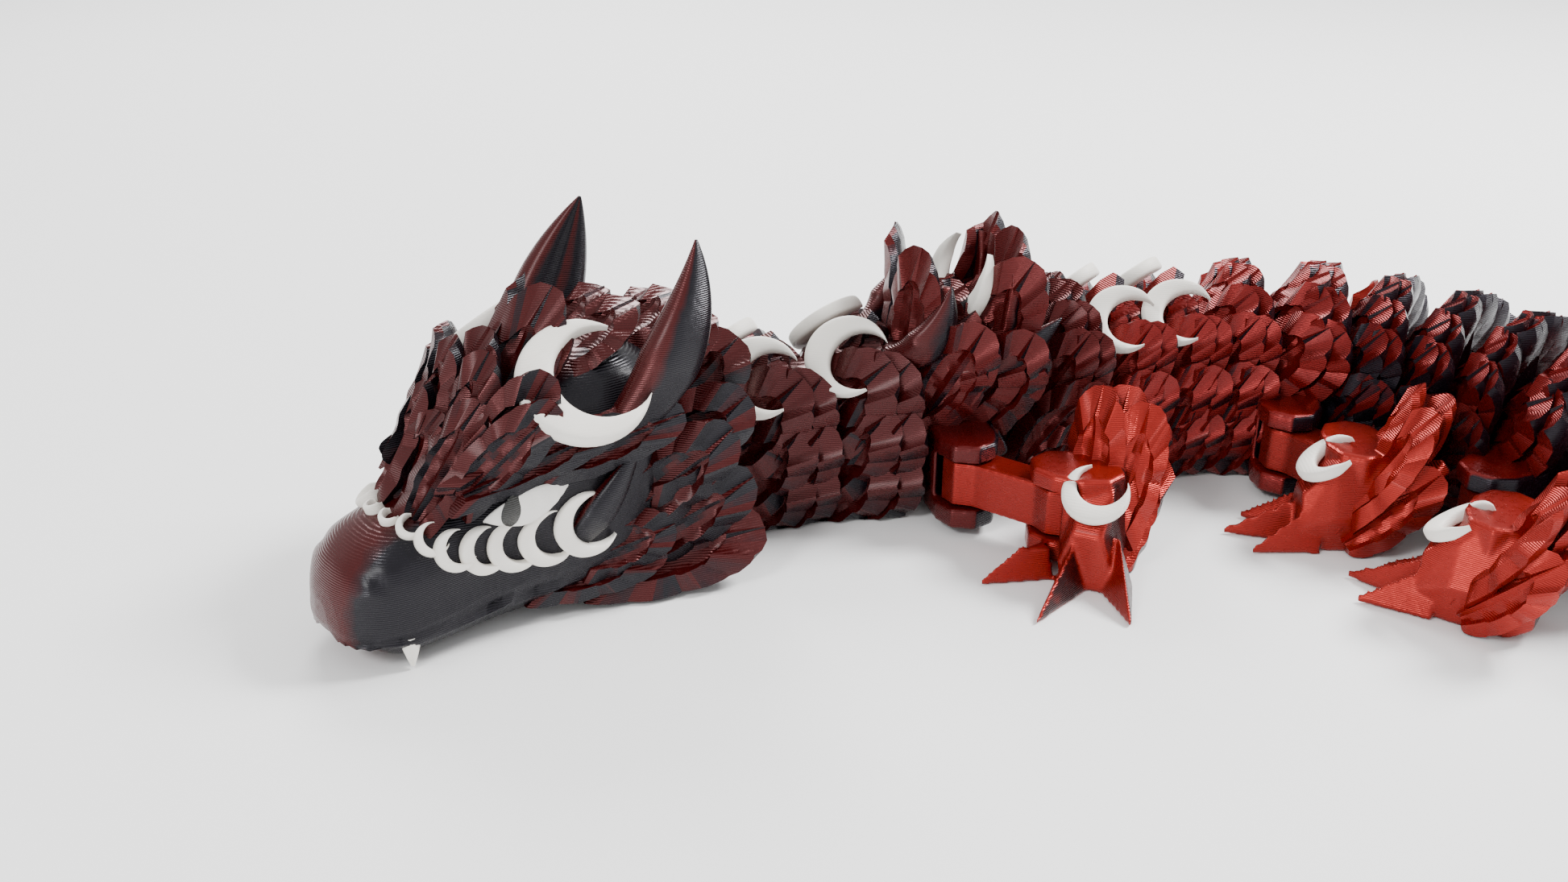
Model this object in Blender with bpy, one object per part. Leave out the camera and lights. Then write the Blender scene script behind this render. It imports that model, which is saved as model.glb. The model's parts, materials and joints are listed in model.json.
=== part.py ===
"""A long jointed dragon: a head, nineteen armoured links on upright pins, and six two-part legs."""

import math

import bmesh
import bpy
from mathutils import Matrix, Vector

MM = 0.001

# Running fits of the printed pins
GAP = 0.45
PIN_R = 1.1
BOSS_R = 3.8
LIP_SHARE = 0.88
WEDGE = math.tan(math.radians(10.6))
FACE_GAP = 0.3

# The links in order: name, pin-to-pin length, half width, height, bend at rest in degrees
LINKS = (
    ("neck_1", 17.0, 10.8, 26.0, -16.0),
    ("neck_2", 17.0, 11.4, 28.0, -14.0),
    ("shoulder", 21.0, 13.2, 31.0, 2.0),
    ("trunk_1", 11.6, 12.6, 30.0, 6.0),
    ("trunk_2", 11.6, 12.6, 30.0, 2.0),
    ("trunk_3", 11.6, 12.6, 30.0, -6.0),
    ("trunk_4", 11.6, 12.6, 30.0, -14.0),
    ("middle", 14.5, 12.8, 30.0, -14.0),
    ("trunk_5", 12.0, 12.2, 29.5, -16.0),
    ("trunk_6", 12.0, 12.2, 29.5, -16.0),
    ("trunk_7", 12.0, 12.0, 29.0, -13.0),
    ("hip", 14.5, 12.2, 29.0, -8.0),
    ("tail_1", 12.0, 10.6, 26.0, 11.0),
    ("tail_2", 11.5, 9.6, 23.5, 12.0),
    ("tail_3", 11.0, 8.7, 21.0, 13.0),
    ("tail_4", 10.5, 7.8, 18.5, 13.0),
    ("tail_5", 10.0, 7.0, 16.5, 12.0),
    ("tail_6", 9.5, 6.2, 14.5, 10.0),
    ("tail_tip", 26.0, 5.4, 12.5, 8.0),
)
HEAD_HEADING = 41.0
PETAL_PITCH = 50.0
PETAL_STEPS = 4

# The head's cross sections from the nose back: distance from the neck pin, half width, low, high
SKULL = (
    (-66.5, 4.4, 4.0, 11.0),
    (-64.5, 7.6, 1.4, 14.5),
    (-60.0, 10.4, 0.0, 17.8),
    (-53.0, 11.2, 0.0, 20.2),
    (-46.0, 11.4, 0.0, 23.5),
    (-41.0, 12.4, 0.0, 28.5),
    (-34.0, 15.0, 0.0, 34.5),
    (-26.0, 16.8, 0.0, 38.0),
    (-17.0, 17.6, 0.0, 38.5),
    (-9.0, 16.0, 0.0, 35.5),
    (-3.5, 11.5, 0.0, 29.0),
)
SKULL_SIDES = 14
HORN_BASE = Vector((-24.5, 12.3, 27.0))
HORN_BEND = Vector((-13.0, 18.5, 39.5))
HORN_TIP = Vector((-9.5, 14.5, 53.5))
HORN_R = 5.4
INLAY_GAP = 0.2

# Legs
FRONT_ARM = 17.0
REAR_ARM = 13.0
ARM_R = 4.1
ARM_HALF = 2.9
ARM_Z = (5.4, 13.1)
SLOT_Z = (5.0, 13.5)
SLOT_R = 4.6
LUG_R = 5.2
LUG_Z = (1.5, 16.5)
PIVOT_OUT = 3.4
FOOT_OUT = 6.8
# tip of each claw from the foot's pin, ahead and outward, its height and its half width at the root
FRONT_CLAWS = ((14.5, -8.0, 0.0, 2.8), (22.0, 3.4, 0.0, 3.2), (17.0, 16.5, 0.0, 3.0))
REAR_CLAWS = ((16.5, -0.6, 0.0, 2.4), (20.5, 5.6, 0.0, 2.6), (17.0, 12.6, 0.0, 2.4))
# leg, link, distance of the leg's pin behind the link's front pin, side, arm swing, foot fold
LEGS = (
    ("front_left", "shoulder", 9.5, -1, 40.0, 78.0),
    ("front_right", "shoulder", 9.5, 1, 42.0, 84.0),
    ("middle_left", "middle", 8.0, -1, 44.0, 126.0),
    ("middle_right", "middle", 8.0, 1, 36.0, 76.0),
    ("hind_left", "hip", 8.0, -1, 54.0, 114.0),
    ("hind_right", "hip", 8.0, 1, 36.0, 76.0),
)

RED = (0.19, 0.012, 0.012, 1.0)
DARK = (0.11, 0.012, 0.016, 1.0)
COPPER = (0.42, 0.035, 0.022, 1.0)
IVORY = (0.86, 0.82, 0.72, 1.0)


def material(name, color, roughness, metallic):
    mat = bpy.data.materials.new(name)
    mat.use_nodes = True
    shader = mat.node_tree.nodes["Principled BSDF"]
    shader.inputs["Base Color"].default_value = color
    shader.inputs["Roughness"].default_value = roughness
    shader.inputs["Metallic"].default_value = metallic
    return mat


def finish(bm, name, kind, place):
    """Turn a mesh in millimetres into a named object with its own material."""
    bmesh.ops.dissolve_limit(
        bm, angle_limit=math.radians(0.3), verts=bm.verts, edges=bm.edges
    )
    bmesh.ops.triangulate(bm, faces=bm.faces)
    bmesh.ops.scale(bm, vec=(MM, MM, MM), verts=bm.verts)
    mesh = bpy.data.meshes.new(name)
    bm.to_mesh(mesh)
    bm.free()
    obj = bpy.data.objects.new(name, mesh)
    bpy.context.scene.collection.objects.link(obj)
    obj.matrix_world = place
    mesh.materials.append(material(name + "_plastic", *kind))
    return obj


def loft(rings, front, rear):
    """A closed skin through rings of equal count, each end closed by a fan to one point."""
    bm = bmesh.new()
    rows = [[bm.verts.new(p) for p in ring] for ring in rings]
    count = len(rings[0])
    for low, high in zip(rows, rows[1:]):
        for i in range(count):
            j = (i + 1) % count
            bm.faces.new((low[i], low[j], high[j], high[i]))
    for row, point in ((rows[0], front), (rows[-1], rear)):
        centre = bm.verts.new(point)
        for i in range(count):
            bm.faces.new((row[i], row[(i + 1) % count], centre))
    bmesh.ops.triangulate(bm, faces=bm.faces, quad_method="FIXED")
    bmesh.ops.recalc_face_normals(bm, faces=bm.faces)
    return bm


def prism(points, low, high):
    """An upright prism over a flat outline."""
    bm = bmesh.new()
    base = [bm.verts.new((x, y, low)) for x, y in points]
    top = [bm.verts.new((x, y, high)) for x, y in points]
    bm.faces.new(base)
    bm.faces.new(top)
    for i in range(len(points)):
        j = (i + 1) % len(points)
        bm.faces.new((base[i], base[j], top[j], top[i]))
    bmesh.ops.recalc_face_normals(bm, faces=bm.faces)
    return bm


def circle(x, y, radius, sides, turn=0.0):
    """Corners of a regular outline round a point."""
    step = 2.0 * math.pi / sides
    return [
        (x + radius * math.cos(step * k + turn), y + radius * math.sin(step * k + turn))
        for k in range(sides)
    ]


def clear_circle(x, y, radius, sides):
    """As circle, but its flats lie at the radius, so that a round piece clears them."""
    return circle(x, y, radius / math.cos(math.pi / sides), sides)


def largest_piece(bm):
    """Drops the crumbs that a cut leaves, keeping the piece with the most faces."""
    left = set(bm.faces)
    pieces = []
    while left:
        piece = set()
        queue = [left.pop()]
        while queue:
            face = queue.pop()
            piece.add(face)
            for edge in face.edges:
                for other in edge.link_faces:
                    if other in left:
                        left.discard(other)
                        queue.append(other)
        pieces.append(piece)
    keep = max(pieces, key=len)
    drop = [face for face in bm.faces if face not in keep]
    bmesh.ops.delete(bm, geom=drop, context="FACES")
    bmesh.ops.delete(bm, geom=[v for v in bm.verts if not v.link_faces], context="VERTS")
    return bm


def hull(points):
    bm = bmesh.new()
    for p in points:
        bm.verts.new(p)
    found = bmesh.ops.convex_hull(bm, input=bm.verts)
    bmesh.ops.delete(bm, geom=list(set(found["geom_interior"])), context="VERTS")
    bmesh.ops.recalc_face_normals(bm, faces=bm.faces)
    return bm


def combine(bm, other, operation):
    """Boolean of two meshes in millimetres."""
    objects = []
    for source in (bm, other):
        mesh = bpy.data.meshes.new("work")
        source.to_mesh(mesh)
        source.free()
        obj = bpy.data.objects.new("work", mesh)
        bpy.context.scene.collection.objects.link(obj)
        objects.append(obj)
    modifier = objects[0].modifiers.new("cut", "BOOLEAN")
    modifier.object = objects[1]
    modifier.operation = operation
    modifier.solver = "EXACT"
    bpy.context.view_layer.update()
    graph = bpy.context.evaluated_depsgraph_get()
    result = bmesh.new()
    result.from_mesh(objects[0].evaluated_get(graph).to_mesh())
    for obj in objects:
        bpy.data.objects.remove(obj)
    bmesh.ops.remove_doubles(result, verts=result.verts, dist=0.002)
    bmesh.ops.dissolve_degenerate(result, edges=result.edges, dist=0.002)
    return result


def pin_height(height):
    return 0.08 * height + 0.9, 0.60 * height


def boss_radius(half):
    return min(BOSS_R, 0.36 * half)


def pin_radius(half):
    return min(PIN_R, 0.12 * half)


def add_socket(bm, x, half, height):
    """The rear pocket for the next link's knuckle, with its upright pin between two lips."""
    low, high = pin_height(height)
    boss = boss_radius(half)
    lips = prism(circle(x, 0.0, LIP_SHARE * boss, 8), max(0.3, low - 2.4), high + 3.0)
    bm = combine(bm, lips, "UNION")
    pocket = prism(clear_circle(x, 0.0, boss + GAP, 8), low - 0.4, high + 0.4)
    bm = combine(bm, pocket, "DIFFERENCE")
    pin = prism(circle(x, 0.0, pin_radius(half), 6), low - 0.9, high + 0.9)
    return combine(bm, pin, "UNION")


def add_knuckle(bm, half, height):
    """The front knuckle with the hole that turns on the pin of the link ahead."""
    low, high = pin_height(height)
    boss = boss_radius(half)
    notch = prism(clear_circle(0.0, 0.0, LIP_SHARE * boss + 0.5, 8), -1.0, 1.3 * height)
    bm = combine(bm, notch, "DIFFERENCE")
    neck = 0.66 * boss
    bar = [(0.0, -neck), (1.6 * boss, -neck), (1.6 * boss, neck), (0.0, neck)]
    knuckle = combine(
        prism(circle(0.0, 0.0, boss, 8), low, high), prism(bar, low, high), "UNION"
    )
    hole = prism(clear_circle(0.0, 0.0, pin_radius(half) + GAP, 6), low - 1.0, high + 1.0)
    knuckle = combine(knuckle, hole, "DIFFERENCE")
    return combine(bm, knuckle, "UNION")


def link_rings(length, half, height):
    """Four rings of a link's shell. Their petals are the ends of the leaf scales."""
    centre = 0.42 * height
    step = PETAL_PITCH / PETAL_STEPS
    angles = [step * k for k in range(-10, 11)]
    # size of the ring, share of it that the petals add, position along the link, petal reach
    levels = (
        (0.62, 0.00, 0.00, 0.0),
        (0.83, 0.06, 0.50, 0.0),
        (0.88, 0.14, 1.00, 2.6),
        (0.70, 0.08, 1.00, 3.2),
    )
    rings = []
    for size, swell, along, reach in levels:
        ring = []
        for angle in angles:
            petal = 0.5 + 0.5 * math.cos(2.0 * math.pi * angle / PETAL_PITCH)
            scale = size + swell * petal
            turn = math.radians(angle)
            y = scale * half * math.sin(turn)
            rise = height - centre if math.cos(turn) > 0.0 else 0.86 * centre
            z = centre + scale * rise * math.cos(turn)
            ring.append((y, z, petal))
        low = 0.55 * half * size
        ring = [(-low, 0.0, 0.5)] + ring + [(low, 0.0, 0.5)]
        points = []
        for y, z, petal in ring:
            front = FACE_GAP + WEDGE * abs(y)
            rear = length - FACE_GAP - WEDGE * abs(y) - reach * (1.0 - petal)
            points.append((front + (rear - front) * along, y, z))
        rings.append(points)
    return rings


def leaf(base, tip, width, thickness, across):
    """A thick pointed leaf from base to tip; across is the direction of its width."""
    axis = (tip - base).normalized()
    side = (across - axis * across.dot(axis)).normalized()
    normal = axis.cross(side) * (0.5 * thickness)
    length = (tip - base).length
    outline = ((0.0, 0.55), (0.45, 1.0), (0.8, 0.7), (1.0, 0.16))
    points = []
    for along, share in outline:
        for sign in (-1, 1):
            spot = base + axis * (along * length) + side * (0.5 * sign * width * share)
            points.append(spot + normal)
            points.append(spot - normal)
    return hull(points)


def crescent(centre, facing, opening, radius, thickness, grow=0.0):
    """A crescent moon plate. facing is its normal, opening the way its horns point."""
    normal = facing.normalized()
    ahead = (opening - normal * opening.dot(normal)).normalized()
    side = normal.cross(ahead)
    inner = 0.74 * radius
    shift = 0.36 * radius
    meet = (radius**2 - inner**2 + shift**2) / (2.0 * shift)
    start = math.acos(meet / radius) + 0.16
    inner_start = math.atan2(math.sqrt(radius**2 - meet**2), meet - shift) + 0.16
    steps = 8
    spread = 1.3 * grow
    outline = []
    for k in range(steps + 1):
        share = k / steps
        angle = start + (2.0 * math.pi - 2.0 * start) * share
        angle += (2.0 * share - 1.0) ** 7 * spread / radius
        reach = radius + spread
        outline.append((reach * math.cos(angle), reach * math.sin(angle)))
    for k in range(steps + 1):
        share = 1.0 - k / steps
        angle = inner_start + (2.0 * math.pi - 2.0 * inner_start) * share
        angle += (2.0 * share - 1.0) ** 7 * spread / radius
        reach = inner - spread
        outline.append((shift + reach * math.cos(angle), reach * math.sin(angle)))
    low, high = -0.5 * thickness - grow, 0.5 * thickness + grow
    bm = bmesh.new()
    rows = []
    for level in (low, high):
        rows.append(
            [
                bm.verts.new(centre + ahead * a + side * b + normal * level)
                for a, b in outline
            ]
        )
    count = len(outline)
    for i in range(count):
        j = (i + 1) % count
        bm.faces.new((rows[0][i], rows[0][j], rows[1][j], rows[1][i]))
    for row in rows:
        for k in range(steps):
            bm.faces.new((row[k], row[k + 1], row[count - 2 - k], row[count - 1 - k]))
    bmesh.ops.triangulate(bm, faces=bm.faces)
    bmesh.ops.recalc_face_normals(bm, faces=bm.faces)
    return bm


def sweep(points, sizes, across, grow=0.0, square=False):
    """A tapering bar through points, with (half width, half depth) at each point."""
    rings = []
    sides = 4 if square else 8
    points = [p.copy() for p in points]
    points[0] -= (points[1] - points[0]).normalized() * grow
    points[-1] += (points[-1] - points[-2]).normalized() * grow
    for k, point in enumerate(points):
        ahead = points[min(k + 1, len(points) - 1)] - points[max(k - 1, 0)]
        ahead.normalize()
        wide = across[k] if isinstance(across, list) else across
        wide = (wide - ahead * wide.dot(ahead)).normalized()
        deep = ahead.cross(wide)
        ring = []
        for s in range(sides):
            turn = 2.0 * math.pi * (s + 0.5) / sides
            scale = math.sqrt(2.0) if square else 1.0
            a = math.cos(turn) * scale * (sizes[k][0] + grow)
            b = math.sin(turn) * scale * (sizes[k][1] + grow)
            ring.append(point + wide * a + deep * b)
        rings.append(ring)
    return loft(rings, points[0], points[-1])


def mirrored(vector, side):
    return Vector((vector.x, vector.y * side, vector.z))


def build_link(index, place):
    name, length, half, height, _ = LINKS[index]
    last = index == len(LINKS) - 1
    if last:
        bm = build_tail_tip(length, half, height)
    else:
        rings = link_rings(length, half, height)
        middle = 0.42 * height
        bm = loft(rings, (FACE_GAP, 0.0, middle), (length - 0.9, 0.0, middle))
    if name == "shoulder":
        for x, y, top, lean in ((5.0, 7.5, 39.0, 3.0), (16.0, 8.0, 43.0, 3.5)):
            for side in (-1, 1):
                base = Vector((x, side * y * 0.8, 24.0))
                tip = Vector((x + lean, side * y, top))
                bm = combine(bm, leaf(base, tip, 8.6, 2.2, Vector((0, 1, 0))), "UNION")
    else:
        base = Vector((0.30 * length, 0.0, 0.85 * height))
        tip = Vector((0.88 * length, 0.0, height + 0.16 * height))
        bm = combine(bm, leaf(base, tip, 0.55 * half, 0.07 * height, Vector((0, 1, 0))), "UNION")
    for leg, link, x, side, _, _ in LEGS:
        if link == name:
            y = side * (half + PIVOT_OUT)
            root = circle(x, y * 0.62, LUG_R, 8)
            edge = circle(x, y, LUG_R, 8)
            lug = hull([(a, b, z) for a, b in root + edge for z in LUG_Z])
            bm = combine(bm, lug, "UNION")
            slot = prism(clear_circle(x, y, SLOT_R, 10), *SLOT_Z)
            box = [
                (x - 9.0, y - side * 1.8),
                (x + 9.0, y - side * 1.8),
                (x + 9.0, y + side * 8.0),
                (x - 9.0, y + side * 8.0),
            ]
            bm = combine(bm, slot, "DIFFERENCE")
            bm = combine(bm, prism(box, *SLOT_Z), "DIFFERENCE")
            pin = prism(circle(x, y, PIN_R, 6), SLOT_Z[0] - 0.8, SLOT_Z[1] + 0.8)
            bm = combine(bm, pin, "UNION")
    if not last:
        following = LINKS[index + 1]
        bm = add_socket(bm, length, following[2], following[3])
    bm = add_knuckle(bm, half, height)
    moons = []
    if name in MOON_LINKS:
        for side in (-1, 1):
            moons.append(link_moon(name, side, length, half, height))
    if name == "shoulder":
        moons.append(
            (
                "shoulder_moon",
                Vector((12.0, 0.0, 35.6)),
                Vector((-0.95, 0.0, 0.3)),
                Vector((0.3, 0.0, 0.95)),
                8.6,
                2.4,
            )
        )
    for moon, centre, facing, opening, radius, thickness in moons:
        cutter = crescent(centre, facing, opening, radius, thickness, INLAY_GAP)
        bm = combine(bm, cutter, "DIFFERENCE")
        solid = crescent(centre, facing, opening, radius, thickness)
        finish(solid, moon, (IVORY, 0.45, 0.0), place)
    kind = (RED if index < 3 else DARK, 0.3, 0.45)
    return finish(largest_piece(bm), name, kind, place)


MOON_LINKS = ("neck_1", "neck_2", "trunk_2", "trunk_3")


def link_moon(name, side, length, half, height):
    """A link's moon lies on its shoulder, horns to the rear."""
    angle = math.radians(36.0)
    centre = 0.42 * height
    y = side * 0.93 * half * math.sin(angle)
    z = centre + 0.93 * (height - centre) * math.cos(angle)
    radius = 6.2 if name.startswith("neck") else 5.4
    facing = Vector((-0.30, side * math.sin(angle), math.cos(angle)))
    label = name + ("_moon_left" if side < 0 else "_moon_right")
    spot = Vector((0.52 * length, y, z))
    return (label, spot, facing, Vector((1, 0, 0)), radius, 1.8)


def build_tail_tip(length, half, height):
    """The last link ends in a long upright blade."""
    rings = []
    levels = (
        (0.0, 0.62, 0.62),
        (0.14, 0.95, 0.92),
        (0.34, 1.0, 1.0),
        (0.6, 0.62, 0.86),
        (0.85, 0.3, 0.5),
    )
    for along, wide, tall in levels:
        ring = []
        for k in range(12):
            turn = 2.0 * math.pi * k / 12
            y = wide * half * math.sin(turn)
            z = tall * height * (0.5 + 0.5 * math.cos(turn))
            if math.cos(turn) < -0.8:
                z = 0.0
            ring.append((FACE_GAP + WEDGE * abs(y) * (1.0 - along) + along * length, y, z))
        rings.append(ring)
    return loft(rings, (FACE_GAP, 0.0, 0.3 * height), (length, 0.0, 0.2 * height))


def skull_ring(x, half, low, high):
    ring = []
    middle = low + 0.42 * (high - low)
    for k in range(SKULL_SIDES):
        turn = 2.0 * math.pi * k / SKULL_SIDES
        s, c = math.sin(turn), math.cos(turn)
        y = half * math.copysign(abs(s) ** 0.8, s)
        reach = high - middle if c > 0.0 else middle - low
        z = middle + reach * math.copysign(abs(c) ** 0.7, c)
        ring.append((x, y, z))
    return ring


def skull_side(x, z):
    """Half width of the skull at this distance and height."""
    for a, b in zip(SKULL, SKULL[1:]):
        if a[0] <= x <= b[0]:
            share = (x - a[0]) / (b[0] - a[0])
            half, low, high = (a[i] + share * (b[i] - a[i]) for i in (1, 2, 3))
            middle = low + 0.42 * (high - low)
            reach = high - middle if z > middle else middle - low
            c = min(1.0, abs(z - middle) / reach) ** (1.0 / 0.7)
            return half * math.sqrt(max(0.0, 1.0 - c * c)) ** 0.8
    return 0.0


def horn_path():
    points = []
    for k in range(7):
        t = k / 6.0
        points.append(
            HORN_BASE * (1 - t) ** 2 + HORN_BEND * (2 * t * (1 - t)) + HORN_TIP * t**2
        )
    return points


def build_head(place):
    rings = [skull_ring(*station) for station in SKULL]
    last = []
    for x, y, z in skull_ring(0.0, 9.5, 0.0, 26.0):
        last.append((-FACE_GAP - WEDGE * abs(y), y, z))
    rings.append(last)
    bm = loft(rings, (-67.2, 0.0, 8.5), (-FACE_GAP, 0.0, 11.0))
    bm = add_socket(bm, 0.0, LINKS[0][2], LINKS[0][3])
    # Frill leaves behind the cheeks and along the jaw
    for side in (-1, 1):
        for base, tip, wide in (
            ((-20.0, 15.0, 7.0), (-9.0, 18.6, 5.0), 8.0),
            ((-20.0, 16.0, 15.0), (-8.0, 19.0, 18.0), 10.0),
            ((-20.0, 13.5, 25.0), (-7.0, 16.5, 32.0), 10.0),
            ((-36.0, 9.0, 31.0), (-24.0, 12.0, 41.0), 8.0),
            ((-27.0, 4.0, 35.0), (-13.0, 5.0, 43.5), 7.0),
        ):
            start = mirrored(Vector(base), side)
            end = mirrored(Vector(tip), side)
            plate = leaf(start, end, wide, 2.4, Vector((0, 0.5 * -side, 1)))
            bm = combine(bm, plate, "UNION")
    inlays = []
    for side, word in ((-1, "left"), (1, "right")):
        path = [mirrored(p, side) for p in horn_path()]
        sizes = [
            (HORN_R * (1 - 0.9 * (k / 6.0) ** 1.4), 0.72 * HORN_R * (1 - 0.92 * (k / 6.0) ** 1.3))
            for k in range(7)
        ]
        make = lambda grow, path=path, sizes=sizes: sweep(path, sizes, Vector((1, 0, 0)), grow)
        inlays.append(("horn_" + word, make, (RED, 0.28, 0.5)))
        moon = lambda grow, side=side: crescent(
            Vector((-28.4, side * 12.4, 34.8)),
            Vector((-0.25, side * 0.62, 0.78)),
            Vector((1, 0, -0.1)),
            9.6,
            3.0,
            grow,
        )
        inlays.append(("brow_moon_" + word, moon, (IVORY, 0.45, 0.0)))
        eye_x, eye_z = -40.0, 20.5
        eye_path = [
            Vector((eye_x + dx, side * (skull_side(eye_x + dx, eye_z + dz) - 0.1), eye_z + dz))
            for dx, dz in ((-5.0, -1.2), (-2.5, -0.2), (0.0, 0.4), (2.5, 1.2), (5.0, 2.4))
        ]
        eye_sizes = [(0.5, 0.5), (2.0, 1.2), (2.6, 1.5), (2.0, 1.2), (0.5, 0.5)]
        eye = lambda grow, p=eye_path, s=eye_sizes: sweep(p, s, Vector((0, 0, 1)), grow)
        inlays.append(("eye_" + word, eye, (IVORY, 0.4, 0.0)))
        fang_x = -58.5
        root = Vector((fang_x, side * 9.6, 5.0))
        point = Vector((fang_x - 0.4, side * 10.6, 0.35))
        fang_path = [root, root.lerp(point, 0.5), point]
        fang = lambda grow, p=fang_path: sweep(
            p, [(1.8, 1.5), (1.4, 1.2), (0.35, 0.35)], Vector((1, 0, 0)), grow
        )
        inlays.append(("fang_" + word, fang, (IVORY, 0.4, 0.0)))
        spots, widths = muzzle_path(side)
        band = lambda grow, p=spots, w=widths: sweep(
            p, w, Vector((-0.2, 0, 1)), grow, square=True
        )
        inlays.append(("muzzle_moons_" + word, band, (IVORY, 0.45, 0.0)))
    for name, make, kind in inlays:
        bm = combine(bm, make(INLAY_GAP), "DIFFERENCE")
        finish(make(0.0), name, kind, place)
    return finish(largest_piece(bm), "head", (RED, 0.3, 0.45), place)


def muzzle_path(side):
    """Points of the moon band from the nose to the cheek, with its half widths and depths."""
    spots, widths = [], []
    steps = 5
    for k in range(steps + 1):
        share = k / steps
        x = -58.5 + 26.0 * share
        z = 17.0 - 3.6 * math.sin(math.pi * 0.8 * share) + 1.2 * share
        spots.append(Vector((x, side * (skull_side(x, z) + 0.2), z)))
        widths.append((1.6 + 3.0 * share, 0.9))
    return spots, widths


def build_arm(name, reach, place):
    # Two round eyes with a narrower bar between them, so the arm clears its lugs when it swings.
    outline = []
    start = math.degrees(math.asin(ARM_HALF / ARM_R))
    for k in range(7):
        turn = math.radians(start + (360.0 - 2.0 * start) * k / 6.0)
        outline.append((ARM_R * math.cos(turn), ARM_R * math.sin(turn)))
    for k in range(7):
        turn = math.radians(start - 180.0 + (360.0 - 2.0 * start) * k / 6.0)
        outline.append((reach + ARM_R * math.cos(turn), ARM_R * math.sin(turn)))
    bm = prism(outline, *ARM_Z)
    for x in (0.0, reach):
        hole = prism(clear_circle(x, 0.0, PIN_R + GAP, 8), ARM_Z[0] - 1.0, ARM_Z[1] + 1.0)
        bm = combine(bm, hole, "DIFFERENCE")
    return finish(bm, name, (COPPER, 0.24, 0.6), place)


def build_foot(name, side, claws, place):
    """The foot's body stands beside its pin. side is -1 on the left and 1 on the right."""
    out = -side
    body = []
    for x, half, low, high in (
        (-8.0, 3.6, 2.0, 11.0),
        (-5.0, 4.6, 0.0, 15.5),
        (4.0, 4.7, 0.0, 15.0),
        (9.0, 4.2, 0.0, 9.5),
    ):
        for share, z in ((0.8, low), (1.0, low + 0.4 * (high - low)), (0.55, high)):
            for sign in (-1, 1):
                body.append((x, out * FOOT_OUT + sign * share * half, z))
    bm = hull(body)
    for x, y, z, width in claws:
        root_y = out * (FOOT_OUT + 0.45 * (y - FOOT_OUT))
        aim = Vector((x - 6.0, out * y - root_y, 0.0)).normalized()
        wide = Vector((-aim.y, aim.x, 0.0)) * width
        root = Vector((6.0, root_y, 0.0))
        points = [root - wide, root + wide, root + Vector((0, 0, 9.0))]
        points += [Vector((x, out * y, 0.0)), Vector((x, out * y, 0.8))]
        bm = combine(bm, hull(points), "UNION")
    for base, tip in (
        ((-3.0, FOOT_OUT - 1.6, 10.0), (-11.0, FOOT_OUT - 2.8, 21.0)),
        ((-3.0, FOOT_OUT + 2.4, 8.0), (-12.0, FOOT_OUT + 3.6, 16.0)),
    ):
        plate = leaf(
            Vector((base[0], out * base[1], base[2])),
            Vector((tip[0], out * tip[1], tip[2])),
            7.4,
            2.2,
            Vector((0, 1, 0)),
        )
        bm = combine(bm, plate, "UNION")
    near = circle(0.0, 0.0, LUG_R, 8)
    far = circle(0.0, out * 5.0, LUG_R, 8)
    lug = hull([(a, b, z) for a, b in near + far for z in LUG_Z])
    bm = combine(bm, lug, "UNION")
    bm = combine(bm, prism(clear_circle(0.0, 0.0, SLOT_R, 10), *SLOT_Z), "DIFFERENCE")
    box = [(-9.0, out * 1.6), (9.0, out * 1.6), (9.0, -out * 8.0), (-9.0, -out * 8.0)]
    bm = combine(bm, prism(box, *SLOT_Z), "DIFFERENCE")
    pin = prism(circle(0.0, 0.0, PIN_R, 6), SLOT_Z[0] - 0.8, SLOT_Z[1] + 0.8)
    bm = combine(bm, pin, "UNION")
    centre = Vector((5.2, out * FOOT_OUT, 14.6))
    facing = Vector((0.55, 0.0, 0.83))
    opening = Vector((-1, 0, 0.4))
    bm = combine(bm, crescent(centre, facing, opening, 4.6, 1.8, INLAY_GAP), "DIFFERENCE")
    moon = crescent(centre, facing, opening, 4.6, 1.8)
    finish(moon, name + "_moon", (IVORY, 0.45, 0.0), place)
    return finish(largest_piece(bm), name, (COPPER, 0.24, 0.6), place)


def frame_at(x, y, heading):
    return Matrix.Translation((x * MM, y * MM, 0.0)) @ Matrix.Rotation(heading, 4, "Z")


def build():
    heading = math.radians(HEAD_HEADING)
    x, y = 0.0, 0.0
    build_head(frame_at(x, y, heading))
    for index, (name, length, half, height, bend) in enumerate(LINKS):
        heading += math.radians(bend)
        build_link(index, frame_at(x, y, heading))
        for leg, link, along, side, swing, fold in LEGS:
            if link != name:
                continue
            out = side * (half + PIVOT_OUT)
            px = x + along * math.cos(heading) - out * math.sin(heading)
            py = y + along * math.sin(heading) + out * math.cos(heading)
            arm = heading + side * math.radians(90.0 - swing)
            reach = FRONT_ARM if link == "shoulder" else REAR_ARM
            build_arm(leg + "_arm", reach, frame_at(px, py, arm))
            ex = px + reach * math.cos(arm)
            ey = py + reach * math.sin(arm)
            foot = arm + side * math.radians(fold)
            claws = FRONT_CLAWS if link == "shoulder" else REAR_CLAWS
            build_foot(leg + "_foot", side, claws, frame_at(ex, ey, foot))
        x += length * math.cos(heading)
        y += length * math.sin(heading)


def centre_on_origin():
    """Move everything so that the origin is the middle of the underside."""
    bpy.context.view_layer.update()
    corners = []
    for obj in bpy.context.scene.objects:
        corners += [obj.matrix_world @ v.co for v in obj.data.vertices]
    low = [min(c[i] for c in corners) for i in range(3)]
    high = [max(c[i] for c in corners) for i in range(3)]
    move = Vector((-0.5 * (low[0] + high[0]), -0.5 * (low[1] + high[1]), -low[2]))
    for obj in bpy.context.scene.objects:
        obj.location += move


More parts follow.
